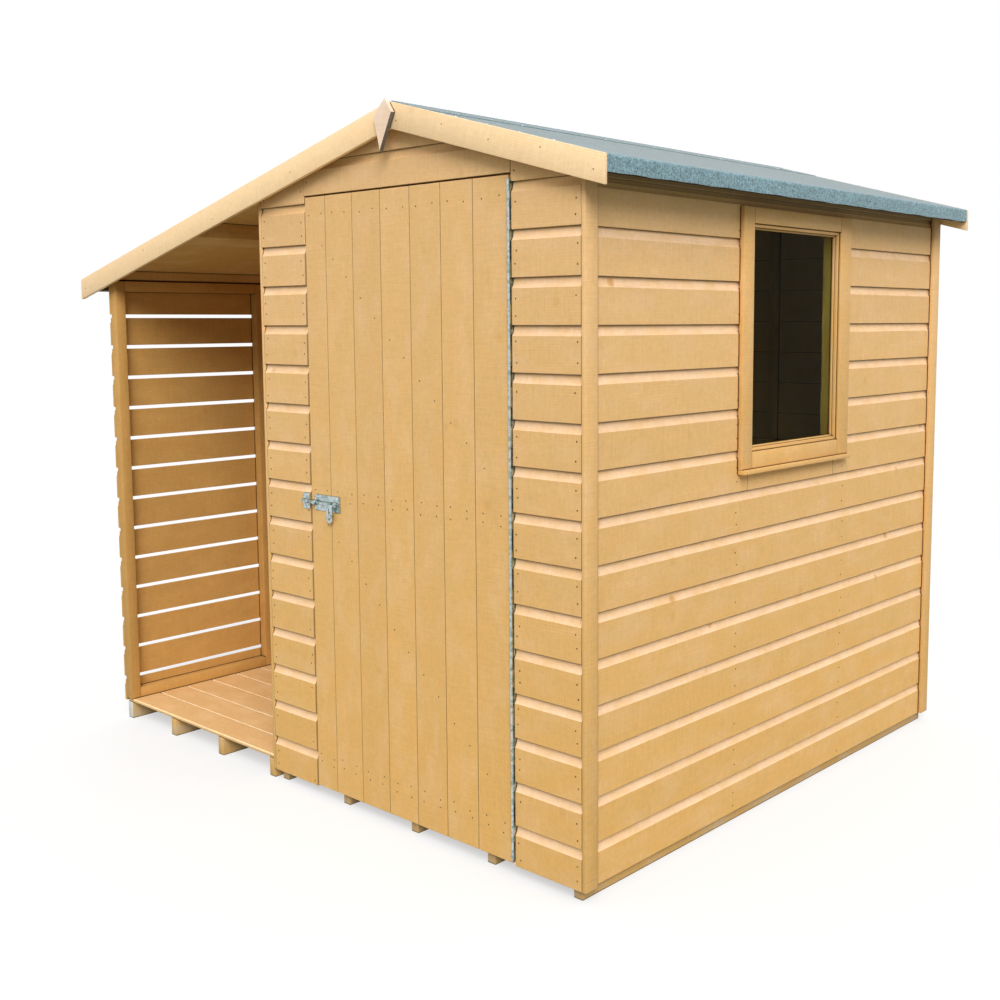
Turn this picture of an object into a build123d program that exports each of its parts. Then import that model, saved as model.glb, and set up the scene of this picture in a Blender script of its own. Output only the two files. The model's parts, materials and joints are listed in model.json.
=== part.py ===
from build123d import *
import os
from math import hypot

os.makedirs("parts", exist_ok=True)

# A gable-front garden shed with an open log store along its left side.
# Millimetres. +X is the window side, +Y the back, +Z up. The origin is on the
# ground, at the centre of the shed's outline seen from above.

# Plan sizes
shed_width = 1220.0
store_width = 892.0
depth = 1824.0
right_eave_overhang = 92.0
left_eave_overhang = 128.0
gable_overhang = 20.0

# Heights above the ground, and how far the eaves lie below the ridge
cladding_bottom = 30.0
first_board_line = 135.0
ridge_height = 1929.0
right_eave_drop = 192.0
left_eave_drop = 404.0

# Timber sections
board = 12.0
board_cover = 112.0
cove_height = 25.0
cove_depth = 7.0
cove_step = 4.0
cove_belly = 0.8
cove_middle = 0.53
frame = 28.0
store_post = 34.0
bearer_width = 28.0
bearer_height = 58.0
store_bearer_count = 4
shed_bearer_count = 5
floor_thickness = 12.0
floor_front_gap = 5.0
corner_strip_width = 46.0

# Slatted panels of the store
slat_pitch = 104.8
slat_gap = 12.0
first_gap_centre = 141.5
top_slat_least = 60.0
slat_bottom = 62.0
slat_cove_height = 20.0
slat_cove_depth = 6.0
store_stud_offset = 556.0

# Roof covering and trim
felt = 2.0
felt_drop = 40.0
fascia_width = 65.0
fascia_thickness = 12.0
purlin_width = 80.0
purlin_depth = 45.0
purlin_off_middle = 86.0

# Finial, a kite-shaped board at the top of the front gable
finial_width = 76.0
finial_rise = 7.0
finial_shoulder = 29.0
finial_drop = 122.0
finial_thickness = 12.0

# Door in the front wall
door_width = 784.0
door_from_right = 226.0
door_bottom = 35.0
door_below_ridge = 210.0
door_gap = 5.0
door_board_cover = 115.0
door_first_board = 89.0
groove = 3.0
ledge_width = 90.0
ledge_thickness = 22.0
ledge_inset = 32.0
brace_foot = 99.0

# Piano hinge
hinge_gap = 8.0
hinge_leaf = 1.5
hinge_leaf_depth = 12.0
knuckle_radius = 4.0
knuckle_sides = 12
knuckle_length = 49.0
knuckle_play = 0.6
knuckle_clearance = 0.5
hinge_pin_radius = 1.5
hinge_play = 0.1
hinge_end = 10.0

# Pad bolt
bolt_height = 870.0
bolt_plate_length = 112.0
bolt_plate_height = 45.0
bolt_plate_thickness = 2.0
bolt_plate_from_edge = 16.0
keep_length = 30.0
keep_from_edge = 3.0
bridge_wall = 2.0
bridge_width = 14.0
bridge_from_end = 4.0
rod_radius = 5.0
rod_play = 0.5
rod_travel = 48.0
rod_length = 96.0
lug_thickness = 3.0
lug_width = 26.0
lug_drop = 52.0
lug_slot_width = 9.0
lug_slot_length = 17.0
lug_slot_below_rod = 10.0
lug_hole_radius = 3.5
lug_hole_from_tip = 11.0

# Window in the right wall
window_from_front = 640.0
window_width = 575.0
window_height = 697.0
window_below_ridge = 254.0
casing_side = 62.0
casing_top = 42.0
casing_bottom = 46.0
casing_thickness = 14.0
sash = 12.0
sash_setback = 7.0
glass = 3.0
bead = 8.0
bead_chamfer = 4.0
sill_projection = 10.0
sill_height = 12.0

# Derived places
roof_width = right_eave_overhang + shed_width + store_width + left_eave_overhang
x_roof_right = roof_width / 2
x_roof_left = -roof_width / 2
x_right = x_roof_right - right_eave_overhang
x_shed_left = x_right - shed_width
x_store_left = x_shed_left - store_width
x_ridge = (x_right + x_shed_left) / 2
front_reach = gable_overhang + fascia_thickness + finial_thickness
rear_reach = gable_overhang + fascia_thickness
y_front = (front_reach - rear_reach - depth) / 2
y_rear = y_front + depth
y_frame_front = y_front + board
y_frame_rear = y_rear - board
floor_top = bearer_height + floor_thickness
slope_right = right_eave_drop / (x_roof_right - x_ridge)
slope_left = left_eave_drop / (x_ridge - x_roof_left)
door_top = ridge_height - door_below_ridge
window_top = ridge_height - window_below_ridge
window_bottom = window_top - window_height
x_hinge_edge = x_right - door_from_right
x_latch_edge = x_hinge_edge - door_width


def roof_top(x):
    """Height of the felt's top at x."""
    if x > x_ridge:
        return ridge_height - (x - x_ridge) * slope_right
    return ridge_height - (x_ridge - x) * slope_left


def below_roof(x, distance, slope):
    """Height at x of a plane parallel to a slope, a distance below its top."""
    return roof_top(x) - distance * hypot(1, slope)


def block(x0, x1, y0, y1, z0, z1):
    """A straight timber between two corners."""
    solid = Box(x1 - x0, y1 - y0, z1 - z0, align=(Align.MIN, Align.MIN, Align.MIN))
    return Pos(x0, y0, z0) * solid


def along_y(points, y0, y1):
    """A prism with its outline in X and Z, from y0 to y1."""
    outline = make_face(Polyline(*[(x, y0, z) for x, z in points], close=True))
    return extrude(outline, amount=y1 - y0, dir=(0, 1, 0))


def save(node, *solids):
    """Write one node's solids to its STEP file."""
    shapes = []
    for solid in solids:
        shapes.extend(solid.solids())
    shape = shapes[0] if len(shapes) == 1 else Compound(children=shapes)
    export_step(shape, f"parts/{node}.step")


# Shiplap cladding: every board has a cove along its top edge, under the lip of the board above


def cove_cutter(place, top, depth, height, direction, length):
    """The hollow that a cove leaves; place turns a depth and a height into a point."""
    middle = place(depth * cove_belly, top - cove_step - (height - cove_step) * cove_middle)
    lip = Polyline(
        place(-1, top - height),
        place(-1, top),
        place(depth, top),
        place(depth, top - cove_step),
    )
    hollow = ThreePointArc(place(depth, top - cove_step), middle, place(0, top - height))
    foot = Line(place(0, top - height), place(-1, top - height))
    return extrude(make_face(lip + hollow + foot), amount=length, dir=direction)


def board_lines(bottom, top):
    """Heights of the lips between bottom and top."""
    lines = []
    line = first_board_line
    while line < top:
        if line > bottom + cove_height:
            lines.append(line)
        line += board_cover
    return lines


def facing_y(x0, y_outer, inward):
    """Points at x0, at a depth behind a face that looks to the front or the back."""
    return lambda d, z: (x0, y_outer + inward * d, z)


def facing_x(y0, x_outer, inward):
    """Points at y0, at a depth behind a face that looks to the left or the right."""
    return lambda d, z: (x_outer + inward * d, y0, z)


def gable_cladding(outline, y_outer, inward):
    """Cladding of a wall that faces the front or the back; inward is +1 or -1."""
    low = min(y_outer, y_outer + inward * board)
    wall = along_y(outline, low, low + board)
    box = wall.bounding_box()
    place = facing_y(box.min.X - 1, y_outer, inward)
    length = box.size.X + 2
    for line in board_lines(box.min.Z, box.max.Z):
        wall -= cove_cutter(place, line, cove_depth, cove_height, (1, 0, 0), length)
    return wall


def side_cladding(outline, x_outer, inward, y0, y1):
    """Cladding of a wall that faces the left or the right; inward is +1 or -1."""
    wall = along_y(outline, y0, y1)
    box = wall.bounding_box()
    place = facing_x(y0 - 1, x_outer, inward)
    for line in board_lines(box.min.Z, box.max.Z):
        wall -= cove_cutter(place, line, cove_depth, cove_height, (0, 1, 0), y1 - y0 + 2)
    return wall


def ceiling(x):
    """Height of the roof boards' underside at x."""
    slope = slope_right if x > x_ridge else slope_left
    return below_roof(x, felt + board, slope)


def under_roof(x0, x1, z0):
    """Outline from z0 up to the roof boards between two places across the shed."""
    top = [(x1, ceiling(x1))]
    if x0 < x_ridge < x1:
        steeper = max(slope_right, slope_left)
        top.append((x_ridge, below_roof(x_ridge, felt + board, steeper)))
    return [(x0, z0), (x1, z0), *top, (x0, ceiling(x0))]


# Base: bearers front to back, with a floor on each set of them
store_floor_x0 = x_store_left + board
store_floor_x1 = x_shed_left
store_floor_y0 = y_front + floor_front_gap
shed_floor_x0 = x_shed_left + board
shed_floor_x1 = x_right - board
shed_floor_y0 = y_frame_front + door_gap
y_floor1 = y_frame_rear
x_strip_left = x_shed_left - board
y_strip = y_front + corner_strip_width


def bearers(x0, x1, y0, count):
    """Equally spaced bearers, the outer two flush with x0 and x1."""
    step = (x1 - x0 - bearer_width) / (count - 1)
    timbers = []
    for i in range(count):
        x = x0 + i * step
        timbers.append(block(x, x + bearer_width, y0, y_floor1, 0, bearer_height))
    return timbers


save(
    "bearers",
    *bearers(store_floor_x0, x_strip_left, store_floor_y0, store_bearer_count),
    *bearers(shed_floor_x0, shed_floor_x1, shed_floor_y0, shed_bearer_count),
)
store_floor = block(
    store_floor_x0, store_floor_x1, store_floor_y0, y_floor1, bearer_height, floor_top
)
store_floor -= block(x_strip_left, x_shed_left + 1, y_front, y_strip, 0, floor_top + 1)
save("store_floor", store_floor)
save(
    "shed_floor",
    block(shed_floor_x0, shed_floor_x1, shed_floor_y0, y_floor1, bearer_height, floor_top),
)

# Front wall: a strip each side of the doorway, and the gable over it
x_hinge = x_hinge_edge + hinge_gap / 2
x_doorway_left = x_latch_edge - door_gap
x_doorway_right = x_hinge_edge + hinge_gap
z_doorway_top = door_top + door_gap
save(
    "front_wall_left",
    gable_cladding(under_roof(x_shed_left, x_doorway_left, cladding_bottom), y_front, 1),
)
save(
    "front_wall_right",
    gable_cladding(under_roof(x_doorway_right, x_right, cladding_bottom), y_front, 1),
)
save(
    "front_gable",
    gable_cladding(under_roof(x_doorway_left, x_doorway_right, z_doorway_top), y_front, 1),
)

# Rear wall and the wall between shed and store
save("rear_wall", gable_cladding(under_roof(x_shed_left, x_right, cladding_bottom), y_rear, -1))
save(
    "partition_wall",
    side_cladding(
        under_roof(x_shed_left, x_shed_left + board, cladding_bottom),
        x_shed_left,
        1,
        y_frame_front,
        y_frame_rear,
    ),
)

# Window wall, with the window cut through it
y_window0 = y_front + window_from_front
y_window1 = y_window0 + window_width
y_opening0 = y_window0 + casing_side
y_opening1 = y_window1 - casing_side
z_opening0 = window_bottom + casing_bottom
z_opening1 = window_top - casing_top
window_wall = side_cladding(
    under_roof(x_right - board, x_right, cladding_bottom),
    x_right,
    -1,
    y_frame_front,
    y_frame_rear,
)
window_wall -= block(
    x_right - 2 * board, x_right + board, y_opening0, y_opening1, z_opening0, z_opening1
)
save("window_wall", window_wall)

# Corner strips
strip_right = under_roof(x_right, x_right + board, cladding_bottom)
strip_left = under_roof(x_strip_left, x_shed_left, cladding_bottom)
save(
    "corner_strips",
    along_y(strip_right, y_front, y_strip),
    along_y(strip_right, y_rear - corner_strip_width, y_rear),
    along_y(strip_left, y_front, y_strip),
)

# Framing of the closed shed
x_frame_right = x_right - board
x_frame_left = x_shed_left + board


def upright(x, y):
    """A post up to the roof boards, from its low corner."""
    return along_y(under_roof(x, x + frame, floor_top), y, y + frame)


front_post_x = [x_frame_left, x_doorway_left - frame, x_doorway_right, x_frame_right - frame]
rear_post_x = [x_frame_left, x_ridge - frame / 2, x_frame_right - frame]
save(
    "shed_posts",
    *[upright(x, y_frame_front) for x in front_post_x],
    *[upright(x, y_frame_rear - frame) for x in rear_post_x],
)


def rail_between(places, y0, y1, z0):
    """Rails at one height, one in each gap between neighbouring posts."""
    rails = []
    for left, right in zip(places, places[1:]):
        rails.append(block(left + frame, right, y0, y1, z0, z0 + frame))
    return rails


y_front_frame_back = y_frame_front + frame
y_rear_frame_front = y_frame_rear - frame
front_rails = rail_between(front_post_x[:2], y_frame_front, y_front_frame_back, floor_top)
front_rails += rail_between(front_post_x[2:], y_frame_front, y_front_frame_back, floor_top)
front_rails += rail_between(front_post_x[1:3], y_frame_front, y_front_frame_back, z_doorway_top)
z_middle_rail = floor_top + (ceiling(x_right) - floor_top) / 2
rear_rails = rail_between(rear_post_x, y_rear_frame_front, y_frame_rear, floor_top)
rear_rails += rail_between(rear_post_x, y_rear_frame_front, y_frame_rear, z_middle_rail)
save("shed_rails", *front_rails, *rear_rails)


def side_frame(x0, studs_y, name):
    """Rails along a side wall, with its studs between them."""
    x1 = x0 + frame
    bottom = block(x0, x1, y_front_frame_back, y_rear_frame_front, floor_top, floor_top + frame)
    z_low = min(ceiling(x0), ceiling(x1)) - frame
    head = along_y(under_roof(x0, x1, z_low), y_front_frame_back, y_rear_frame_front)
    save(name + "_rails", bottom, head)
    save(name + "_studs", *[block(x0, x1, y, y + frame, floor_top + frame, z_low) for y in studs_y])


window_stud_y = [y_window0 - frame / 2, y_window1 - frame / 2]
side_frame(x_frame_right - frame, window_stud_y, "window_wall")
trimmer_y0 = window_stud_y[0] + frame
trimmers = []
for z in (z_opening0 - frame, z_opening1):
    trimmers.append(
        block(x_frame_right - frame, x_frame_right, trimmer_y0, window_stud_y[1], z, z + frame)
    )
save("window_trimmers", *trimmers)
partition_stud_y = [y_front + depth / 3 - frame / 2, y_front + 2 * depth / 3 - frame / 2]
side_frame(x_frame_left, partition_stud_y, "partition")

# Log store: slatted side and rear panels on a frame of square posts
x_post_left = x_store_left + board
x_post_inner = x_post_left + store_post
y_post_rear = y_frame_rear - store_post
stud_y = [
    y_front,
    y_front + store_stud_offset,
    y_frame_rear - store_stud_offset - store_post,
    y_post_rear,
]
z_rail_top = below_roof(x_post_left, felt + board + frame, slope_left)
store_side_posts = []
for y in stud_y:
    store_side_posts.append(
        block(x_post_left, x_post_inner, y, y + store_post, floor_top, z_rail_top)
    )
store_side_rails = []
for y0, y1 in zip(stud_y, stud_y[1:]):
    for z in (floor_top, z_rail_top - store_post):
        store_side_rails.append(
            block(x_post_left, x_post_inner, y0 + store_post, y1, z, z + store_post)
        )
save("store_side_rails", *store_side_rails)


def slat_heights(limit):
    """Bottom and top of each slat, up to a limit that the last one reaches."""
    heights = []
    low = slat_bottom
    centre = first_gap_centre
    while centre + slat_gap / 2 + top_slat_least < limit:
        heights.append((low, centre - slat_gap / 2))
        low = centre + slat_gap / 2
        centre += slat_pitch
    heights.append((low, limit))
    return heights


store_side_slats = []
side_place = facing_x(y_front - 1, x_store_left, 1)
side_limit = ceiling(x_store_left)
for low, high in slat_heights(side_limit):
    slat = block(x_store_left, x_post_left, y_front, y_frame_rear, low, high)
    if high < side_limit:
        slat -= cove_cutter(side_place, high, slat_cove_depth, slat_cove_height, (0, 1, 0), depth)
    store_side_slats.append(slat)
save("store_side_slats", *store_side_slats)

store_rear_slats = []
rear_place = facing_y(x_store_left - 1, y_rear, -1)
rear_length = store_width + 2
rear_outline = along_y(under_roof(x_store_left, x_shed_left, slat_bottom), y_frame_rear, y_rear)
rear_limit = ceiling(x_shed_left)
for low, high in slat_heights(rear_limit):
    slat = block(x_store_left, x_shed_left, y_frame_rear, y_rear, low, high) & rear_outline
    if high < rear_limit:
        slat -= cove_cutter(
            rear_place, high, slat_cove_depth, slat_cove_height, (1, 0, 0), rear_length
        )
    store_rear_slats.append(slat)
save("store_rear_slats", *store_rear_slats)
rear_stud_x = [
    x_post_inner,
    (x_post_inner + x_shed_left - store_post) / 2,
    x_shed_left - store_post,
]
store_rear_posts = []
for x in rear_stud_x[1:]:
    store_rear_posts.append(
        along_y(under_roof(x, x + store_post, floor_top), y_post_rear, y_frame_rear)
    )
save("store_posts", *store_side_posts, *store_rear_posts)
store_rear_rails = []
for x0, x1 in ((x_post_inner, rear_stud_x[1]), (rear_stud_x[1] + store_post, rear_stud_x[2])):
    for z in (floor_top, z_rail_top - store_post):
        store_rear_rails.append(block(x0, x1, y_post_rear, y_frame_rear, z, z + store_post))
save("store_rear_rails", *store_rear_rails)

# Roof: boards, the battens under them, the purlin over the store and the felt
y_roof0 = y_front - gable_overhang
y_roof1 = y_rear + gable_overhang


def roof_strip(x0, x1, top, bottom, slope, y0, y1):
    """A layer of a roof slope between two depths below its top."""
    outline = [
        (x0, below_roof(x0, bottom, slope)),
        (x1, below_roof(x1, bottom, slope)),
        (x1, below_roof(x1, top, slope)),
        (x0, below_roof(x0, top, slope)),
    ]
    return along_y(outline, y0, y1)


x_boards_right = x_roof_right - felt
x_boards_left = x_roof_left + felt
save(
    "roof_boards_right",
    roof_strip(x_ridge, x_boards_right, felt, felt + board, slope_right, y_roof0, y_roof1),
)
save(
    "roof_boards_left",
    roof_strip(x_boards_left, x_ridge, felt, felt + board, slope_left, y_roof0, y_roof1),
)


def felt_side(x_end, inward, slope):
    """One slope of felt, folded down over the eave."""
    inner = x_end + inward * felt
    outline = [
        (x_ridge, ridge_height),
        (x_end, below_roof(x_end, 0, slope)),
        (x_end, below_roof(x_end, 0, slope) - felt_drop),
        (inner, below_roof(x_end, 0, slope) - felt_drop),
        (inner, below_roof(inner, felt, slope)),
        (x_ridge, below_roof(x_ridge, felt, slope)),
    ]
    return along_y(outline, y_roof0, y_roof1)


save("felt_right", felt_side(x_roof_right, -1, slope_right))
save("felt_left", felt_side(x_roof_left, 1, slope_left))


def batten(x0, width, y0, y1, slope, deep=frame):
    return roof_strip(x0, x0 + width, felt + board, felt + board + deep, slope, y0, y1)


save("store_wall_batten", batten(x_post_left, frame, y_roof0, y_frame_rear, slope_left))
x_purlin = (x_store_left + x_shed_left) / 2 + purlin_off_middle - purlin_width / 2
save("store_purlin", batten(x_purlin, purlin_width, y_roof0, y_frame_rear, slope_left, purlin_depth))
x_mid_right = (x_ridge + x_right) / 2
x_mid_left = (x_ridge + x_shed_left) / 2
save(
    "roof_battens",
    batten(x_boards_right - frame, frame, y_roof0, y_roof1, slope_right),
    batten(x_boards_left, frame, y_roof0, y_roof1, slope_left),
    batten(x_ridge + frame, frame, y_frame_front, y_frame_rear, slope_right),
    batten(x_ridge - 2 * frame, frame, y_frame_front, y_frame_rear, slope_left),
    batten(x_mid_right, frame, y_frame_front, y_frame_rear, slope_right),
    batten(x_mid_left, frame, y_frame_front, y_frame_rear, slope_left),
)

# Fascia boards on the ends of the roof, and the finial
fascia_right = [
    (x_ridge, roof_top(x_ridge)),
    (x_ridge, below_roof(x_ridge, fascia_width, slope_right)),
    (x_roof_right, below_roof(x_roof_right, fascia_width, slope_right)),
    (x_roof_right, roof_top(x_roof_right)),
]
fascia_left = [
    (x_ridge, roof_top(x_ridge)),
    (x_ridge, below_roof(x_ridge, fascia_width, slope_left)),
    (x_roof_left, below_roof(x_roof_left, fascia_width, slope_left)),
    (x_roof_left, roof_top(x_roof_left)),
]
y_fascia0 = y_roof0 - fascia_thickness
y_fascia1 = y_roof1 + fascia_thickness
for name, outline in (("fascia_right", fascia_right), ("fascia_left", fascia_left)):
    save(name, along_y(outline, y_fascia0, y_roof0), along_y(outline, y_roof1, y_fascia1))
finial = [
    (x_ridge, ridge_height + finial_rise),
    (x_ridge - finial_width / 2, ridge_height - finial_shoulder),
    (x_ridge, ridge_height - finial_drop),
    (x_ridge + finial_width / 2, ridge_height - finial_shoulder),
]
save("finial", along_y(finial, y_fascia0 - finial_thickness, y_fascia0))

# Window: casing outside, sash in the opening, glass and its beads in the sash, and a drip sill
x_casing = x_right + casing_thickness
casing = block(x_right, x_casing, y_window0, y_window1, window_bottom, window_top)
casing -= block(
    x_right - 1, x_casing + 1, y_opening0, y_opening1, z_opening0, z_opening1
)
save("window_casing", casing)
x_sash_out = x_casing - sash_setback
x_sash_in = x_frame_right - frame
sash_frame = block(x_sash_in, x_sash_out, y_opening0, y_opening1, z_opening0, z_opening1)
sash_frame -= block(
    x_sash_in - 1,
    x_sash_out + 1,
    y_opening0 + sash,
    y_opening1 - sash,
    z_opening0 + sash,
    z_opening1 - sash,
)
save("window_sash", sash_frame)
x_glass = x_right - board
y_glass0 = y_opening0 + sash
y_glass1 = y_opening1 - sash
z_glass0 = z_opening0 + sash
z_glass1 = z_opening1 - sash
x_bead0 = x_glass + glass
x_bead1 = x_bead0 + bead
save("window_glass", block(x_glass, x_bead0, y_glass0, y_glass1, z_glass0, z_glass1))
beads = block(x_bead0, x_bead1, y_glass0, y_glass1, z_glass0, z_glass1)
beads -= block(
    x_bead0 - 1, x_bead1 + 1, y_glass0 + bead, y_glass1 - bead, z_glass0 + bead, z_glass1 - bead
)
bead_arris = beads.faces().sort_by(Axis.X)[-1].inner_wires()[0].edges()
save("window_beads", chamfer(bead_arris, bead_chamfer))
save(
    "window_sill",
    block(
        x_right,
        x_casing + sill_projection,
        y_window0,
        y_window1,
        window_bottom - sill_height,
        window_bottom,
    ),
)

# Door: boards with a groove at each joint, ledges and braces behind them
door_boards = block(x_latch_edge, x_hinge_edge, y_front, y_front + board, door_bottom, door_top)
joint = x_latch_edge + door_first_board
while joint < x_hinge_edge - door_board_cover / 2:
    groove0 = joint - groove / 2
    groove1 = joint + groove / 2
    cut = [(groove0, y_front - 1), (groove1, y_front - 1), (groove1, y_front)]
    cut += [(joint, y_front + groove / 2), (groove0, y_front)]
    outline = make_face(Polyline(*[(x, y, door_bottom - 1) for x, y in cut], close=True))
    door_boards -= extrude(outline, amount=door_top - door_bottom + 2, dir=(0, 0, 1))
    joint += door_board_cover
save("door_boards", door_boards)
x_ledge0 = x_latch_edge + ledge_inset
x_ledge1 = x_hinge_edge - door_gap
y_ledge0 = y_front + board
y_ledge1 = y_ledge0 + ledge_thickness
z_ledge_low = floor_top + door_gap
z_ledge_high = door_top - door_gap - ledge_width
z_ledge_middle = (z_ledge_low + z_ledge_high) / 2
ledges = []
for z in (z_ledge_low, z_ledge_middle, z_ledge_high):
    ledges.append(block(x_ledge0, x_ledge1, y_ledge0, y_ledge1, z, z + ledge_width))
save("door_ledges", *ledges)
braces = []
for z_foot, z_head in ((z_ledge_low, z_ledge_middle), (z_ledge_middle, z_ledge_high)):
    z0 = z_foot + ledge_width
    outline = [(x_ledge1, z0), (x_ledge1 - brace_foot, z0)]
    outline += [(x_ledge0, z_head), (x_ledge0 + brace_foot, z_head)]
    braces.append(along_y(outline, y_ledge0, y_ledge1))
save("door_braces", *braces)

# Piano hinge on the right edge of the door, turning about a pin in front of the boards
y_hinge = y_front - knuckle_radius
z_hinge0 = door_bottom + hinge_end
z_hinge1 = door_top - hinge_end


def upright_rod(z0, z1, radius):
    """A cylinder on the hinge's axis."""
    cylinder = Cylinder(radius, z1 - z0, align=(Align.CENTER, Align.CENTER, Align.MIN))
    return Pos(x_hinge, y_hinge, z0) * cylinder


def knuckle(z0, z1):
    """A rolled knuckle round the hinge's axis, with flats all round it."""
    outline = RegularPolygon(knuckle_radius, knuckle_sides)
    return Pos(x_hinge, y_hinge, z0) * extrude(outline, amount=z1 - z0)


def hinge_half(x_outer, direction, first):
    """A leaf lying against the wood, with every second knuckle on it."""
    x_leaf = sorted((x_outer, x_outer + direction * hinge_leaf))
    half = block(*x_leaf, y_hinge, y_front + hinge_leaf_depth, z_hinge0, z_hinge1)
    reach = knuckle_radius + knuckle_clearance
    z = z_hinge0
    index = 0
    while z < z_hinge1 - knuckle_length / 2:
        z_next = min(z + knuckle_length, z_hinge1)
        if index % 2 == first:
            half += knuckle(z + knuckle_play / 2, z_next - knuckle_play / 2)
        else:
            low = z - knuckle_play / 2
            high = z_next + knuckle_play / 2
            half -= block(x_hinge - reach, x_hinge + reach, y_hinge - 1, y_hinge + reach, low, high)
        z = z_next
        index += 1
    return half - upright_rod(z_hinge0 - 1, z_hinge1 + 1, hinge_pin_radius + hinge_play)


save("hinge_leaf_door", hinge_half(x_hinge_edge, 1, 0))
save("hinge_leaf_frame", hinge_half(x_doorway_right, -1, 1))
save("hinge_pin", upright_rod(z_hinge0, z_hinge1, hinge_pin_radius))

# Pad bolt: plate and barrel on the door, rod with its lug, keep on the wall
y_plate = y_front - bolt_plate_thickness
z_plate0 = bolt_height - bolt_plate_height / 2
x_plate0 = x_latch_edge + bolt_plate_from_edge
plate = block(
    x_plate0,
    x_plate0 + bolt_plate_length,
    y_plate,
    y_front,
    z_plate0,
    z_plate0 + bolt_plate_height,
)
rod_hole = rod_radius + rod_play
bridge_outer = rod_hole + bridge_wall
y_rod = y_plate - rod_radius - rod_play


def lying(x0, x1, radius):
    """A cylinder along X on the bolt's axis."""
    turned = Rot(0, 90, 0) * Cylinder(radius, x1 - x0, align=(Align.CENTER, Align.CENTER, Align.MIN))
    return Pos(x0, y_rod, bolt_height) * turned


def bridge(x0):
    """A strap bent over the rod, standing on its plate."""
    x1 = x0 + bridge_width
    strap = lying(x0, x1, bridge_outer)
    strap += block(x0, x1, y_rod, y_plate, bolt_height - bridge_outer, bolt_height + bridge_outer)
    strap -= block(x0, x1, y_plate, y_front + bridge_outer, z_plate0, z_plate0 + bolt_plate_height)
    strap -= lying(x0 - 1, x1 + 1, rod_hole)
    return strap - block(
        x0 - 1, x1 + 1, y_rod, y_plate, bolt_height - rod_hole, bolt_height + rod_hole
    )


x_bridges = [x_plate0, x_plate0 + bolt_plate_length - bridge_width - bridge_from_end]
for x in x_bridges:
    plate += bridge(x)
save("bolt_plate", plate)
x_keep1 = x_doorway_left - keep_from_edge
x_keep0 = x_keep1 - keep_length
keep = block(x_keep0, x_keep1, y_plate, y_front, z_plate0, z_plate0 + bolt_plate_height)
keep += bridge(x_keep0 + (keep_length - bridge_width) / 2)
save("bolt_keep", keep)
x_rod0 = x_latch_edge
bolt_rod = lying(x_rod0, x_rod0 + rod_length, rod_radius)
x_lug0 = x_bridges[0] + bridge_width + rod_travel + bridge_wall
x_lug = x_lug0 + lug_width / 2
y_lug = y_rod - rod_radius
z_lug_tip = bolt_height - lug_drop


def through_lug(z, radius):
    """A round disc or hole through the lug, on its middle line."""
    return Pos(x_lug, y_lug + lug_thickness / 2, z) * Rot(90, 0, 0) * Cylinder(radius, lug_thickness)


z_round = z_lug_tip + lug_width / 2
lug = block(x_lug0, x_lug0 + lug_width, y_lug, y_lug + lug_thickness, z_round, bolt_height)
lug += through_lug(z_round, lug_width / 2)
slot_radius = lug_slot_width / 2
z_slot_high = bolt_height - lug_slot_below_rod - slot_radius
z_slot_low = z_slot_high - lug_slot_length + lug_slot_width
lug -= block(
    x_lug - slot_radius, x_lug + slot_radius, y_lug, y_lug + lug_thickness, z_slot_low, z_slot_high
)
for z in (z_slot_low, z_slot_high):
    lug -= through_lug(z, slot_radius)
lug -= through_lug(z_lug_tip + lug_hole_from_tip, lug_hole_radius)
save("bolt_rod", bolt_rod + lug)
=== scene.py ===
import json
import math
import random

import bmesh
import bpy
from bpy.props import FloatProperty, FloatVectorProperty, PointerProperty
from mathutils import Matrix, Vector


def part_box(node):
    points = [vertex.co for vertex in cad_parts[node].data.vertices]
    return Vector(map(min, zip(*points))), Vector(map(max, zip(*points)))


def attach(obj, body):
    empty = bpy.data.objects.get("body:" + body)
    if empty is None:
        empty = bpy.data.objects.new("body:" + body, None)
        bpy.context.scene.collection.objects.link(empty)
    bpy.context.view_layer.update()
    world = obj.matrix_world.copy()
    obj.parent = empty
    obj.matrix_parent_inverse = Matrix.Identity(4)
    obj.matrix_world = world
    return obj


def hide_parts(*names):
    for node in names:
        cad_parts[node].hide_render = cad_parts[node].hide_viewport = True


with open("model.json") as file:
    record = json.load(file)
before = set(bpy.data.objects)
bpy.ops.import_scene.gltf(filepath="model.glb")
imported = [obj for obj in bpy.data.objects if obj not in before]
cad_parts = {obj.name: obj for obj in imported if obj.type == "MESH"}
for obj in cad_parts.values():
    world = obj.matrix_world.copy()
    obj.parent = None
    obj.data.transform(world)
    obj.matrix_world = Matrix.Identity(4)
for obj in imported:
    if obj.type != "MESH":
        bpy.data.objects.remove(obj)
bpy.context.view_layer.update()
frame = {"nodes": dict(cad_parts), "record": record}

bl_info = {
    "name": "Garden shed with log store",
    "version": (1, 0, 0),
    "blender": (4, 5, 0),
    "location": "View3D > Sidebar > Shed",
    "description": "Dresses a timber garden shed in boards, felt, ironmongery and finishes",
    "category": "Object",
}

MM = 0.001
WELD_DISTANCE = 0.01 * MM

# Directions of the shed: the door faces the front and the window the right
RIGHT = Vector((1, 0, 0))
LEFT = Vector((-1, 0, 0))
BACK = Vector((0, 1, 0))
FRONT = Vector((0, -1, 0))
UP = Vector((0, 0, 1))

CAMERA_PLACE = Vector((2.8698, -2.9986, 1.3743))
LENS_SHIFT = (-0.0562, -0.0507)
LAMP_TOWARDS = Vector((-0.56, 0.54, -0.62))


def linear(code):
    """A colour written as sRGB hex, in linear light."""
    values = [int(code[i:i + 2], 16) / 255 for i in (0, 2, 4)]
    return [v / 12.92 if v <= 0.04045 else ((v + 0.055) / 1.055) ** 2.4 for v in values]


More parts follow.
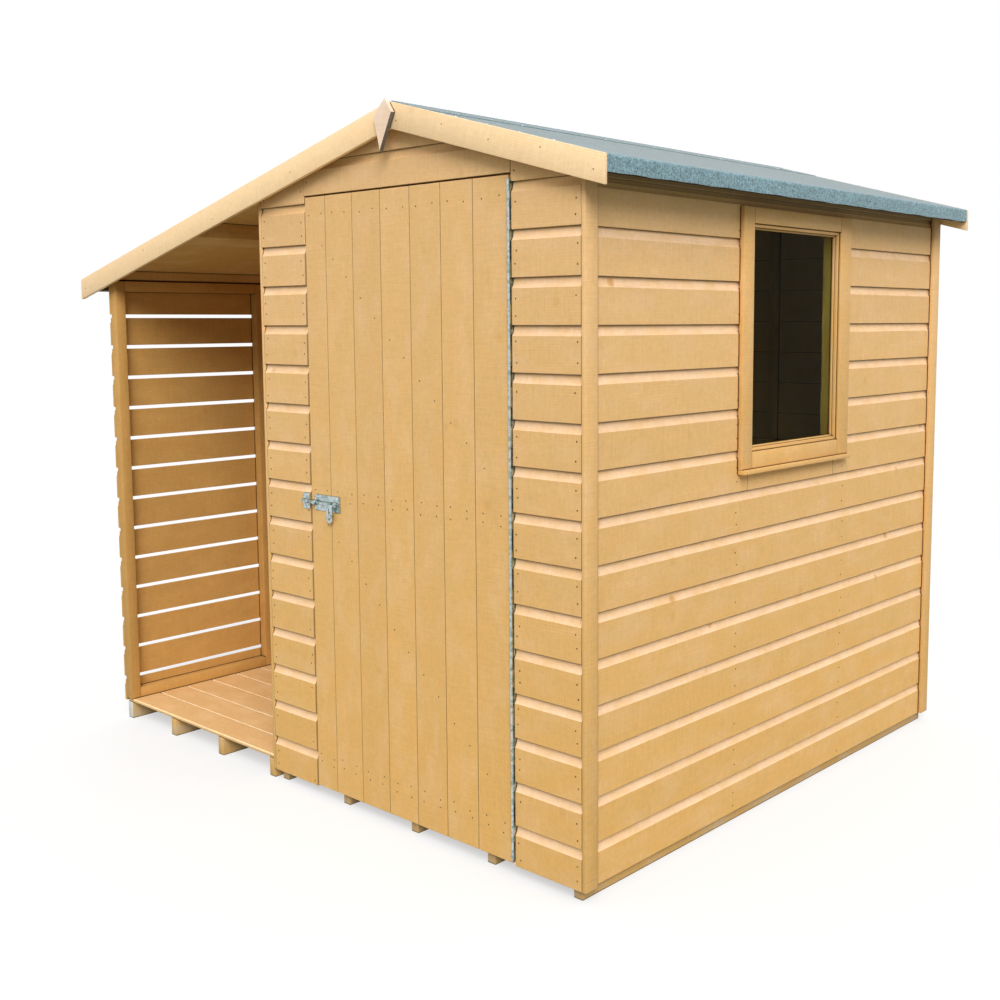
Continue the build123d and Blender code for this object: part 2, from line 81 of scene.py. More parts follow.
def colour(name, description, code):
    """A colour that can be set, with its default as sRGB hex."""
    return FloatVectorProperty(
        name=name, description=description, default=linear(code), subtype="COLOR", min=0, max=1
    )


def length(name, description, millimetres):
    """A length that can be set, with its default in millimetres."""
    return FloatProperty(
        name=name, description=description, default=millimetres * MM, unit="LENGTH", precision=4
    )


class ShedTimberSettings(bpy.types.PropertyGroup):
    """Sizes of the boards and nails."""

    first_line: length("First line", "Height of the lowest lip of the cladding", 135)
    board_cover: length("Board cover", "Height that one cladding board shows", 112)
    cove_height: length("Cove height", "Height of the hollow at the top of a board", 25)
    cove_depth: length("Cove depth", "Depth of the hollow at the top of a board", 7)
    # Painted shade: over this height the hollows are not made paler, for the shade under the
    # fascias and eaves, and the right wall's boards are darkened for the shade under its eave
    eave_shade_above: length("Even above", "Height over which stain fills the hollows too", 1690)
    cove_step: length("Cove step", "Straight part over the hollow, under the next lip", 4)
    slat_cove_height: length("Slat cove height", "Height of the hollow on a store slat", 20)
    slat_cove_depth: length("Slat cove depth", "Depth of the hollow on a store slat", 6)
    door_first_board: length("First door board", "Width of the board at the latch", 89)
    door_board_cover: length("Door board", "Width that each other door board shows", 115)
    floor_cover: length("Floor board", "Width that one floor board shows", 104)
    arris: length("Arris", "Rounding of the timber's edges", 1.2)
    lap: length("Lap", "Height of the tongue behind the lip of the next board", 6)
    joint: length("Joint", "Gap between two boards", 1.0)
    window_front: length("Window front", "Front edge of the window's opening", -216)
    sash_show: length("Sash", "Width that the sash shows round the glass", 10)
    nail_head: length("Nail head", "Diameter of a cladding nail's head", 4.6)
    clout_head: length("Clout head", "Diameter of a felt nail's head", 9)


class ShedFinishSettings(bpy.types.PropertyGroup):
    """Colours of the finishes."""

    cladding: colour("Cladding", "Honey stain on the shiplap boards", "E2B26A")
    cove: colour("Cove", "Thinner stain in the hollow of the boards", "EFC8A0")
    door: colour("Door", "Honey stain on the door's boards", "E2B26A")
    trim: colour("Trim", "Pale stain on the fascias", "FFDCAE")
    frame: colour("Frame", "Stain on the sawn framing", "D4AA6A")
    # Painted shade: a deeper copy of the honey stain, for the shade inside the log store
    slats_in_shade: colour("Slats", "Stain on the inside of the log store", "CA9B57")
    floor: colour("Floor", "Stain on the floor boards", "E6BA80")
    roof_sheet: colour("Roof sheet", "Underside of the roof", "DAB26E")
    finial: colour("Finial", "Bare wood of the finial", "FFEADB")
    felt: colour("Felt", "Mineral surface of the roofing felt", "728F99")
    zinc: colour("Zinc", "Zinc plating of the bolt and hinge", "C0CACC")


class ShedStageSettings(bpy.types.PropertyGroup):
    """Camera and light."""

    lens: FloatProperty(name="Lens", description="Focal length in millimetres", default=43.84)
    yaw: FloatProperty(
        name="Yaw", description="Turn of the view", default=math.radians(41.828), subtype="ANGLE"
    )
    pitch: FloatProperty(
        name="Pitch", description="Downward tilt", default=math.radians(5.966), subtype="ANGLE"
    )
    roll: FloatProperty(
        name="Roll", description="Lean of the view", default=math.radians(-0.193), subtype="ANGLE"
    )
    sky: FloatProperty(name="Sky", description="Strength of the sky overhead", default=1.23)
    lamp: FloatProperty(name="Lamp", description="Strength of the soft lamp", default=2.52)
    ground: colour("Ground", "Light that the ground throws back", "7E8474")


def sizes():
    """The sizes that are set in the panel."""
    return bpy.context.scene.shed_timber


def finishes():
    """The colours that are set in the panel."""
    return bpy.context.scene.shed_finish


# Solids and boards


def solids(node):
    """The corners of each separate solid of a CAD node."""
    whole = bmesh.new()
    whole.from_mesh(frame["nodes"][node].data)
    bmesh.ops.remove_doubles(whole, verts=whole.verts, dist=WELD_DISTANCE)
    whole.verts.index_update()
    seen = set()
    found = []
    for start in whole.verts:
        if start.index in seen:
            continue
        seen.add(start.index)
        waiting = [start]
        corners = []
        while waiting:
            vertex = waiting.pop()
            corners.append(vertex.co.copy())
            for edge in vertex.link_edges:
                other = edge.other_vert(vertex)
                if other.index not in seen:
                    seen.add(other.index)
                    waiting.append(other)
        found.append(corners)
    whole.free()
    return found


def limits(points, direction):
    """The least and the greatest reach of some points along a direction."""
    reach = [point.dot(direction) for point in points]
    return min(reach), max(reach)


def hull(points):
    """The convex timber that fills some corners."""
    mesh = bmesh.new()
    for point in points:
        mesh.verts.new(point)
    bmesh.ops.convex_hull(mesh, input=mesh.verts)
    unused = [vertex for vertex in mesh.verts if not vertex.link_faces]
    bmesh.ops.delete(mesh, geom=unused, context="VERTS")
    bmesh.ops.dissolve_limit(
        mesh, angle_limit=math.radians(0.5), verts=mesh.verts, edges=mesh.edges
    )
    return mesh


def rectangle(start, end, near, far):
    """The outline of a squared timber."""
    return [(start, near), (end, near), (end, far), (start, far)]


def prism(outline, start, end, along, up, out):
    """A bar whose outline is a list of heights and reaches, from start to end along it."""
    mesh = bmesh.new()
    first, last = (
        [mesh.verts.new(along * place + up * height + out * reach) for height, reach in outline]
        for place in (start, end)
    )
    mesh.faces.new(first)
    mesh.faces.new(last)
    for i in range(len(outline)):
        mesh.faces.new((first[i - 1], first[i], last[i], last[i - 1]))
    bmesh.ops.recalc_face_normals(mesh, faces=mesh.faces)
    return mesh


def cut(mesh, planes):
    """Cuts away what lies outside each plane and closes the end."""
    for point, normal in planes:
        everything = mesh.verts[:] + mesh.edges[:] + mesh.faces[:]
        made = bmesh.ops.bisect_plane(
            mesh, geom=everything, plane_co=point, plane_no=normal, clear_outer=True, dist=1e-6
        )
        rim = [part for part in made["geom_cut"] if isinstance(part, bmesh.types.BMEdge)]
        if rim:
            bmesh.ops.holes_fill(mesh, edges=rim)
    return mesh


def soften(mesh, radius, segments=1):
    """Rounds the arrises of a timber."""
    sharp = [
        edge
        for edge in mesh.edges
        if len(edge.link_faces) == 2 and edge.calc_face_angle() > math.radians(40)
    ]
    bmesh.ops.bevel(
        mesh, geom=sharp, offset=radius, segments=segments, profile=0.5, affect="EDGES",
        clamp_overlap=True,
    )
    return mesh


def slopes(points, out):
    """The sloping sides of a wall, as planes that its boards are cut to."""
    mesh = hull(points)
    planes = []
    for face in mesh.faces:
        square = max(abs(value) for value in face.normal) > 0.9999
        if not square and abs(face.normal.dot(out)) < 0.5:
            planes.append((face.calc_center_median(), face.normal.copy()))
    mesh.free()
    return planes


class Pile:
    """Boards and fittings that become one mesh. Each keeps the directions of its own grain, a
    tone that sets it apart from its neighbours, and the stain on each of its faces: -1 where it
    ran off, 1 where it gathered, and 0 on a plain face. The same value paints light too: a
    painted highlight where it is below 0, and painted shade where it is above 0."""

    def __init__(self, name, seed):
        self.name = name
        self.draw = random.Random(seed)
        self.vertices = []
        self.faces = []
        self.grain = []
        self.tone = []
        self.stain = []

    def add(self, mesh, along=BACK, up=UP, stain=None):
        """Takes in a board; stain gives the stain on one of its faces, and the painted shade and
        highlight there.
        """
        out = along.cross(up)
        shift = Vector([self.draw.uniform(-20, 20) for _ in range(3)])
        tone = self.draw.uniform(-1, 1)
        first = len(self.vertices)
        mesh.verts.index_update()
        mesh.normal_update()
        for vertex in mesh.verts:
            self.vertices.append(vertex.co.copy())
            place = Vector([vertex.co.dot(direction) for direction in (along, up, out)])
            self.grain.append(place + shift)
        for face in mesh.faces:
            self.faces.append([first + vertex.index for vertex in face.verts])
            self.tone.append(tone)
            self.stain.append(stain(face) if stain else 0.0)
        mesh.free()

    def make(self, material, body, slot, *nodes):
        """Makes the mesh a piece of the shed that stands for some CAD nodes."""
        data = bpy.data.meshes.new(self.name)
        data.from_pydata(self.vertices, [], self.faces)
        grain = data.attributes.new("grain", "FLOAT_VECTOR", "POINT")
        grain.data.foreach_set("vector", [value for place in self.grain for value in place])
        for name in ("tone", "stain"):
            layer = data.attributes.new(name, "FLOAT", "FACE")
            layer.data.foreach_set("value", getattr(self, name))
        data.shade_smooth()
        data.set_sharp_from_angle(angle=math.radians(32))
        data.materials.append(material)
        piece = bpy.data.objects.new(self.name, data)
        bpy.context.scene.collection.objects.link(piece)
        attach(piece, body)
        if nodes:
            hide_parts(*nodes)
        return piece

    def stand_for(self, material, node):
        """Makes the mesh stand for a CAD node, on that node's body and with the material given.
        """
        return self.make(material, body_of(node), slot_of(node), node)


def body_of(node):
    """The body that a CAD node rides on."""
    bodies = frame["record"]["behaviour"]["bodies"]
    return next(body for body, members in bodies.items() if node in members)


def slot_of(node):
    """The material slot that the record gives a CAD node."""
    return next(
        part["material_slot"] for part in frame["record"]["subparts"] if part["node"] == node
    )


def positive(direction):
    """A direction turned so that its largest share is positive."""
    largest = max(direction, key=abs)
    return direction if largest > 0 else -direction


def grain_of(mesh):
    """The direction of a timber's grain and of its wider side."""
    edges = sorted(mesh.edges, key=lambda edge: -round(edge.calc_length(), 5))
    along = edges[0].verts[1].co - edges[0].verts[0].co
    along = positive(along.normalized())
    for edge in edges:
        side = edge.verts[1].co - edge.verts[0].co
        side -= along * side.dot(along)
        if side.length > 2 * MM:
            return along, positive(side.normalized())
    raise ValueError("a timber has no width")


def timber_pile(node, arris=None, seed=1, stain=None, trim=()):
    """Every solid of a CAD node as a timber with eased arrises and its own grain. Planes
    in trim cut off what lies beyond them."""
    pile = Pile("timber_" + node, seed)
    for corners in solids(node):
        mesh = hull(corners)
        along, side = grain_of(mesh)
        cut(mesh, trim)
        soften(mesh, arris or sizes().arris, 2)
        pile.add(mesh, along, side, stain)
    return pile


def arc(start, middle, end, count):
    """Points on the circle through three points, from start to end."""
    (ax, ay), (bx, by), (cx, cy) = start, middle, end
    d = 2 * (ax * (by - cy) + bx * (cy - ay) + cx * (ay - by))
    a, b, c = ax * ax + ay * ay, bx * bx + by * by, cx * cx + cy * cy
    x = (a * (by - cy) + b * (cy - ay) + c * (ay - by)) / d
    y = (a * (cx - bx) + b * (ax - cx) + c * (bx - ax)) / d
    radius = math.hypot(ax - x, ay - y)
    turns = [math.atan2(py - y, px - x) for px, py in (start, middle, end)]
    for i in (1, 2):
        while turns[i] - turns[i - 1] > math.pi:
            turns[i] -= 2 * math.pi
        while turns[i] - turns[i - 1] < -math.pi:
            turns[i] += 2 * math.pi
    steps = [turns[0] + (turns[2] - turns[0]) * i / count for i in range(count + 1)]
    return [(x + radius * math.cos(turn), y + radius * math.sin(turn)) for turn in steps]


def coved(low, high, face, back, height, depth, lap=0.0, rebate=0.0):
    """Outline of a board: flat face, hollow at the top and a tongue that stands up by lap.
    A rebate in its foot leaves room for the tongue of the board below."""
    size = sizes()
    tongue = face - depth
    foot = (high - height, face)
    hollow = height - size.cove_step
    middle = (high - size.cove_step - hollow * 0.53, face - depth * 0.8)
    head = (high - size.cove_step, tongue)
    points = [(low, face)] + arc(foot, middle, head, 6)
    points += [(high + lap, tongue), (high + lap, back)]
    if rebate:
        lip = tongue + size.joint
        return points + [(low + rebate, back), (low + rebate, lip), (low, lip)]
    return points + [(low, back)]


def dipped(out, face, low, high, height):
    """How the stain lies on a coved board: it ran off the hollow and gathered at the ends. The
    lip's lower arris is made paler too, a painted highlight."""

    def stain(part):
        facing = part.normal.dot(out)
        if facing > 0.3 and abs(part.normal.dot(UP.cross(out))) > 0.3:
            return 0.8
        centre = part.calc_center_median()
        behind = face - centre.dot(out)
        # Painted highlight: the lip's down-facing arris turns pale
        lip = centre.z < low + 2 * MM and part.normal.z < -0.3
        hollow = behind > 0.6 * MM and centre.z > high - height
        return -1.0 if (lip or hollow) and facing > 0.1 else 0.0

    return stain


def painted_eave_shade(part):
    """Painted shade: faces over the set height are darkened, for the shade under the right eave.
    """
    return 0.6 if part.calc_center_median().z > sizes().eave_shade_above else 0.0


def lengths(start, end, low, high, hole):
    """The straight lengths of one course of boards, with the cuts at a hole in the wall."""
    if not hole or high <= hole["low"] or low >= hole["high"]:
        return [(start, end, [])]
    parts = [(start, hole["start"], []), (hole["end"], end, [])]
    if low < hole["low"]:
        parts.append((hole["start"], hole["end"], [(UP * hole["low"], UP)]))
    if high > hole["high"]:
        parts.append((hole["start"], hole["end"], [(UP * hole["high"], -UP)]))
    return parts


def clad(pile, node, along, out, hole=None):
    """Lays the shiplap boards of one wall, from the bottom up. The gable's boards stop short
    over the hinge."""
    size = sizes()
    uneven = 0.35 * MM
    for corners in solids(node):
        bottom, top = limits(corners, UP)
        start, end = limits(corners, along)
        back, face = limits(corners, out)
        roof = slopes(corners, out)
        low = bottom
        line = size.first_line
        while line <= low:
            line += size.board_cover
        while low < top:
            stop = end - (2 * size.joint if node == "front_gable" else 0)
            for left, right, cuts in lengths(start, stop, low, line, hole):
                front = face - pile.draw.uniform(0, uneven)
                rebate = size.lap + size.joint if low > bottom else 0.0
                outline = coved(
                    low, line, front, back, size.cove_height, size.cove_depth, size.lap, rebate
                )
                board = cut(prism(outline, left, right, along, UP, out), roof + cuts)
                if board.faces:
                    soften(board, size.arris)
                    # Painted shade: boards that reach over this height keep their hollows as dark
                    # as their face, and on the right wall they are darkened, for the shade under
                    # the fascias and eaves
                    if line < size.eave_shade_above:
                        stain = dipped(out, front, low, line, size.cove_height)
                    else:
                        stain = painted_eave_shade if out == RIGHT else None
                    pile.add(board, along, UP, stain)
                else:
                    board.free()
            low = line
            line += size.board_cover


def nail(pile, place, out, diameter, proud=0.35 * MM):
    """A flat nail head, standing just proud of the wood."""
    mesh = bmesh.new()
    turn = out.to_track_quat("Z", "Y").to_matrix().to_4x4()
    bmesh.ops.create_cone(
        mesh, cap_ends=True, segments=10, radius1=diameter / 2, radius2=diameter * 0.38,
        depth=proud * 2, matrix=Matrix.Translation(place) @ turn,
    )
    pile.add(mesh, RIGHT, UP)


def inside(point, planes, margin):
    """Whether a point lies inside all the planes, clear of their edges."""
    return all((point - place).dot(normal) < -margin for place, normal in planes)


def wall_nails(pile, node, along, out, columns, hole=None):
    """Two nails a board at each upright behind the wall. One in eight is hidden in stain."""
    size = sizes()
    heights = (28 * MM, 66 * MM)
    hidden = 0.12
    clear = 8 * MM
    margin = 20 * MM
    for corners in solids(node):
        bottom, top = limits(corners, UP)
        face = limits(corners, out)[1]
        roof = slopes(corners, out)
        line = size.first_line - size.board_cover
        while line < top:
            for column in columns:
                for height in heights:
                    across = column + pile.draw.uniform(-5, 5) * MM
                    z = line + height + pile.draw.uniform(-9, 9) * MM
                    if pile.draw.random() < hidden:
                        continue
                    place = along * across + UP * z + out * face
                    if not bottom + clear < z < top or not inside(place, roof, clear):
                        continue
                    if hole and hole["start"] - margin < across < hole["end"] + margin:
                        if hole["low"] < z < hole["high"]:
                            continue
                    nail(pile, place, out, size.nail_head)
            line += size.board_cover


# Materials


def node_adder(owner):
    """Clears the nodes of a material or a world, and gives the function that adds one."""
    owner.use_nodes = True
    tree = owner.node_tree
    tree.nodes.clear()

    def add(kind, *inputs, output=0, sockets=None, **settings):
        """Adds a node and gives one of its outputs. Inputs fill or feed its sockets in
        order, sockets does so by name, and settings are the node's own."""
        made = tree.nodes.new("ShaderNode" + kind)
        for name, value in settings.items():
            setattr(made, name, value)
        for name, value in (*enumerate(inputs), *(sockets or {}).items()):
            socket = made.inputs[name]
            if isinstance(value, bpy.types.NodeSocket):
                tree.links.new(value, socket)
            else:
                socket.default_value = value
        return made.outputs[output] if made.outputs else None

    return add


def wood(add, face, bare, ring, roughness, contrast=0.3, sawn=0.3, paler_to_top=0.0):
    """Timber: rings and fibres along the grain, tones from board to board, and knots.
    ring is the spacing of the year rings in metres, contrast how dark the rings are, sawn how
    rough the saw left it, and paler_to_top how much paler the colour is made at the top of a
    panel than at its foot."""
    grain = add("Attribute", output="Vector", attribute_name="grain")
    tone = add("Attribute", output="Fac", attribute_name="tone")
    stain = add("Attribute", output="Fac", attribute_name="stain")
    times = {"operation": "MULTIPLY"}
    plus = {"operation": "MULTIPLY_ADD"}
    less = {"operation": "SUBTRACT"}
    colours = {"data_type": "RGBA", "output": 2}

    def streaks(along, across, detail=2.0):
        """Noise in cells of two lengths in metres, stretched along the grain."""
        cells = add("VectorMath", grain, (1 / along, 1 / across, 1 / across), **times)
        return add("TexNoise", cells, sockets={"Scale": 1.0, "Detail": detail})

    # The wave texture's own bands are a tenth of pi apart
    stretched = add("VectorMath", grain, (1 / (ring * 30), 1 / ring, 1 / ring), **times)
    waves = {"Scale": math.pi / 10, "Distortion": 9.0, "Detail": 2.0, "Detail Scale": 0.35}
    rings = add("TexWave", stretched, output="Fac", sockets=waves, bands_direction="Y")
    fibres = streaks(70 * MM, 1.6 * MM, 3.0)
    patches = streaks(170 * MM, 45 * MM)
    saw = streaks(2.4 * MM, 60 * MM, 1.0)

    plain = add("MapRange", patches, 0.4, 0.62, 0.0, 1.0)
    late = add("Math", add("Math", rings, plain, **times), contrast, **times)
    late = add("Math", add("Math", fibres, 0.42, **less), contrast, late, **plus)
    shade = add("Mix", late, sockets={6: rgba(face), 7: rgba(deeper(face, 0.78))}, **colours)

    # The colour turns paler from 0.3 m up to 1.75 m
    height = add("SeparateXYZ", add("TexCoord", output="Object"), output="Z")
    paler = add("MapRange", height, 0.3, 1.75, 0.0, paler_to_top)
    # Faces whose stain is below 0 turn towards the bare colour in patches: stain that ran off,
    # wear and sealer, and the painted highlight on the lips
    run_off = add("MapRange", streaks(60 * MM, 30 * MM), 0.35, 0.6, -0.6, -1.0)
    thin = add("Math", stain, run_off, **times)
    paler = add("Math", thin, paler, operation="MAXIMUM")
    shade = add("Mix", paler, sockets={6: shade, 7: rgba(bare)}, **colours)
    warmth = add("MapRange", streaks(110 * MM, 60 * MM, 3.0), 0.45, 0.7, 0.0, 0.25)
    shade = add("Mix", warmth, sockets={6: shade, 7: rgba(bare)}, **colours)

    cell = Vector((310 * MM, 62 * MM, 62 * MM))
    cells = add("VectorMath", grain, [1 / side for side in cell], **times)
    knots = add("TexVoronoi", cells, output="Position", sockets={"Scale": 1.0})
    away = add("VectorMath", add("VectorMath", cells, knots, **less), cell, **times)
    reach = add("VectorMath", away, output="Value", operation="LENGTH")
    chosen = add("SeparateColor", knots.node.outputs["Color"])
    spot = add("MapRange", reach, 16 * MM, 7 * MM, 0.0, 0.8)
    spot = add("Math", spot, add("MapRange", thin, 0.0, 1.0, 0.3, 1.0), **times)
    spot = add("Math", spot, add("Math", chosen, 0.6, operation="GREATER_THAN"), **times)
    shade = add("Mix", spot, sockets={6: shade, 7: rgba(deeper(face, 0.72))}, **colours)

    mottle = streaks(14 * MM, 9 * MM, 4.0)
    value = add("Math", tone, 0.022, 1.0, **plus)
    for layer, share in ((patches, 0.16), (saw, 0.2), (fibres, 0.16), (mottle, 0.2)):
        value = add("Math", add("Math", layer, 0.5, **less), share, value, **plus)
    shade = add("HueSaturation", sockets={"Value": value, "Color": shade})

    # Painted shade: ambient occlusion darkens the wood within 6 mm of where boards meet, as a
    # dark line, and faces whose stain is above 0 darken the same way, from gathered stain and
    # from painted shade
    gap = add("AmbientOcclusion", output="AO", sockets={"Distance": 6 * MM}, samples=8)
    painted_shade_and_stain = add("Math", add("MapRange", gap, 0.5, 0.88, 1.0, 0.0), stain, operation="MAXIMUM")
    shade_and_stain_colour = rgba([value * 0.12 for value in face])
    shade = add("Mix", painted_shade_and_stain, sockets={6: shade, 7: shade_and_stain_colour}, **colours)

    relief = add("Math", saw, sawn, add("Math", fibres, 0.7, **times), **plus)
    marks = {"Strength": 0.3, "Distance": 0.6 * MM, "Height": relief}
    return {
        "Base Color": shade, "Roughness": roughness, "IOR": 1.5, "Specular IOR Level": 0.35,
        "Normal": add("Bump", sockets=marks),
    }


def rgba(values):
    """A colour that lets nothing through."""
    return (*values, 1.0)


def deeper(values, share):
    """A colour darkened towards orange, as late wood and knots are."""
    return [values[0] * share ** 0.7, values[1] * share ** 1.35, values[2] * share ** 2.2]


def dipped_spruce_cladding(add):
    """Planed spruce dipped in honey stain: even gold, paler in the hollows and at the top."""
    look = finishes()
    return wood(add, look.cladding, look.cove, 7 * MM, 0.62, paler_to_top=0.42)


def dipped_spruce_door(add):
    """Planed spruce dipped in honey stain, with the grain upright."""
    look = finishes()
    return wood(add, look.door, look.cove, 8 * MM, 0.6, paler_to_top=0.3)


def planed_spruce_trim(add):
    """Planed spruce with one thin coat: pale, a little smoother than the boards."""
    look = finishes()
    return wood(add, look.trim, look.trim, 6 * MM, 0.55, 0.4, 0.1)


def planed_spruce_casing(add):
    """Planed spruce round the window, dipped with the cladding."""
    look = finishes()
    face = deeper(look.cladding, 0.97)
    return wood(add, face, look.cove, 5 * MM, 0.55, 0.3, 0.1, 0.12)


def sawn_spruce_frame(add):
    """Sawn spruce framing, dipped: the saw leaves it rough and a little darker."""
    look = finishes()
    return wood(add, look.frame, look.trim, 6 * MM, 0.72, 0.45, 0.9)


def store_slats_with_painted_shade(add):
    """Spruce slats of the log store: gold as the walls outside, and a deeper honey inside, which
    is painted shade for the inside of the store.
    """
    look = finishes()
    return wood(add, look.slats_in_shade, look.cladding, 7 * MM, 0.66, 0.4)


def dipped_floor_boards(add):
    """Tongued spruce floor boards, dipped and dry."""
    look = finishes()
    return wood(add, look.floor, look.trim, 7 * MM, 0.68, 0.4)


def roof_sheeting(add):
    """Plain spruce sheets under the felt, thinly stained."""
    look = finishes()
    return wood(add, look.roof_sheet, look.trim, 9 * MM, 0.75)


def bare_pine_finial(add):
    """Bare rough pine: pinkish white, with its rings plain to see."""
    look = finishes()
    return wood(add, look.finial, look.finial, 4 * MM, 0.7, 2.2, 0.9)


def treated_bearers(add):
    """Pressure-treated sawn bearers, pale, with end-grain sealer on the outer one's end."""
    look = finishes()
    return wood(add, look.frame, linear("D4D6D2"), 7 * MM, 0.75, 0.4, 0.9)


def mineral_felt(add):
    """Bitumen felt with a pressed mineral surface: matt blue-green grit. The grit is about
    1 mm across and is drawn 4 mm coarse, so that it shows from the camera."""
    place = add("TexCoord", output="Object")
    grit = add("TexNoise", place, sockets={"Scale": 1 / (4 * MM), "Detail": 3.0})
    patches = add("TexNoise", place, sockets={"Scale": 1 / (160 * MM), "Detail": 2.0})
    spread = add("MapRange", grit, 0.3, 0.7, 0.35, 1.75)
    value = add("Math", patches, 0.3, spread, operation="MULTIPLY_ADD")
    value = add("Math", value, 0.15, operation="SUBTRACT")
    shade = add("HueSaturation", sockets={"Value": value, "Color": rgba(finishes().felt)})
    grains = {"Strength": 0.6, "Distance": 1.2 * MM, "Height": grit}
    return {
        "Base Color": shade, "Roughness": 0.5, "IOR": 1.5, "Sheen Weight": 1.0,
        "Sheen Roughness": 0.25, "Normal": add("Bump", sockets=grains),
    }


def zinc_plated_steel(add):
    """Pressed steel with bright zinc plating: soft sheen, clouded with pale green bloom."""
    place = add("TexCoord", output="Object")
    cloud = add("TexNoise", place, sockets={"Scale": 1 / (12 * MM), "Detail": 3.0})
    bloom = add("MapRange", cloud, 0.45, 0.6, 0.0, 0.8)
    tones = {6: rgba(finishes().zinc), 7: rgba(linear("7A968E"))}
    return {
        "Base Color": add("Mix", bloom, output=2, sockets=tones, data_type="RGBA"),
        "Metallic": 1.0, "Roughness": add("MapRange", cloud, 0.3, 0.7, 0.2, 0.4),
    }


def weathered_nail_steel(add):
    """Wire nail heads gone brown in the stain: dull and dark."""
    place = add("TexCoord", output="Object")
    spots = add("TexNoise", place, sockets={"Scale": 1 / (9 * MM), "Detail": 1.0})
    tones = {6: rgba(linear("2E2410")), 7: rgba(linear("6A4E22"))}
    return {
        "Base Color": add("Mix", spots, output=2, sockets=tones, data_type="RGBA"),
        "Roughness": 0.8, "Specular IOR Level": 0.1,
    }


def clear_glazing(add):
    """Clear horticultural glass: dark against the unlit room, with a faint green body. It
    mirrors little, so its IOR is below that of glass in the hand."""
    place = add("TexCoord", output="Object")
    ripple = add("TexNoise", place, sockets={"Scale": 1 / (140 * MM), "Detail": 1.0})
    waves = {"Strength": 0.05, "Distance": 1 * MM, "Height": ripple}
    return {
        "Base Color": rgba(linear("C4CEB0")), "Roughness": 0.0, "IOR": 1.06,
        "Transmission Weight": 1.0, "Normal": add("Bump", sockets=waves),
    }


def finish(maker):
    """The material that a maker gives the surface of, made when it is first asked for."""
    material = bpy.data.materials.get(maker.__name__)
    if not material:
        material = bpy.data.materials.new(maker.__name__)
        add = node_adder(material)
        add("OutputMaterial", add("BsdfPrincipled", sockets=maker(add)))
    return material


def dress(node, material, arris=0.0):
    """Gives a CAD node its material, and eases its edges where an arris is given."""
    piece = frame["nodes"][node]
    piece.data.materials.clear()
    piece.data.materials.append(material)
    if arris:
        weld = piece.modifiers.new("weld", "WELD")
        weld.merge_threshold = WELD_DISTANCE
        bevel = piece.modifiers.new("arris", "BEVEL")
        bevel.width = arris
        bevel.segments = 2
        bevel.limit_method = "ANGLE"
        bevel.angle_limit = math.radians(50)
    return piece


# Pieces of the shed


class ShedOperator:
    """What all the shed's operators share."""

    bl_options = {"REGISTER", "UNDO"}


class SHED_OT_cladding(ShedOperator, bpy.types.Operator):
    """Clad the walls in shiplap boards, nailed to the uprights"""

    bl_idname = "shed.cladding"
    bl_label = "Cladding"

    def execute(self, context):
        material = finish(dipped_spruce_cladding)
        opening_low, opening_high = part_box("window_sash")
        hole = {
            "start": sizes().window_front, "end": opening_high.y,
            "low": opening_low.z, "high": opening_high.z,
        }
        walls = (
            ("front_wall_left", RIGHT, FRONT, None, None),
            ("front_wall_right", RIGHT, FRONT, None, None),
            ("front_gable", RIGHT, FRONT, None, None),
            ("rear_wall", RIGHT, BACK, None, "shed_posts"),
            ("partition_wall", BACK, LEFT, None, "partition_studs"),
            ("window_wall", BACK, RIGHT, hole, "window_wall_studs"),
        )
        nails = Pile("cladding_nails", 11)
        inset = 15 * MM
        spacing = 60 * MM
        for seed, (node, along, out, opening, uprights) in enumerate(walls):
            pile = Pile("boards_" + node, 20 + seed)
            clad(pile, node, along, out, opening)
            pile.stand_for(material, node)
            low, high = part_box(node)
            columns = [low.dot(along) + inset, high.dot(along) - inset]
            for corners in solids(uprights) if uprights else ():
                start, end = limits(corners, along)
                middle = (start + end) / 2
                if columns[0] + spacing < middle < columns[1] - spacing:
                    columns.append(middle)
            wall_nails(nails, node, along, out, sorted(set(columns)), opening)
        strips = timber_pile("corner_strips", 2 * MM, 27, self.corner_shade_and_stain)
        strips.stand_for(material, "corner_strips")
        nails.make(finish(weathered_nail_steel), "shed", "galvanised_steel")
        return {"FINISHED"}

    def corner_shade_and_stain(self, part):
        """A dark line along the edge of a front strip, against the side boards: stain gathered in
        the joint, and painted shade for the corner.
        """
        front = part.calc_center_median().y < 0
        return 1.0 if front and part.normal.y > 0.3 and abs(part.normal.x) > 0.3 else 0.0


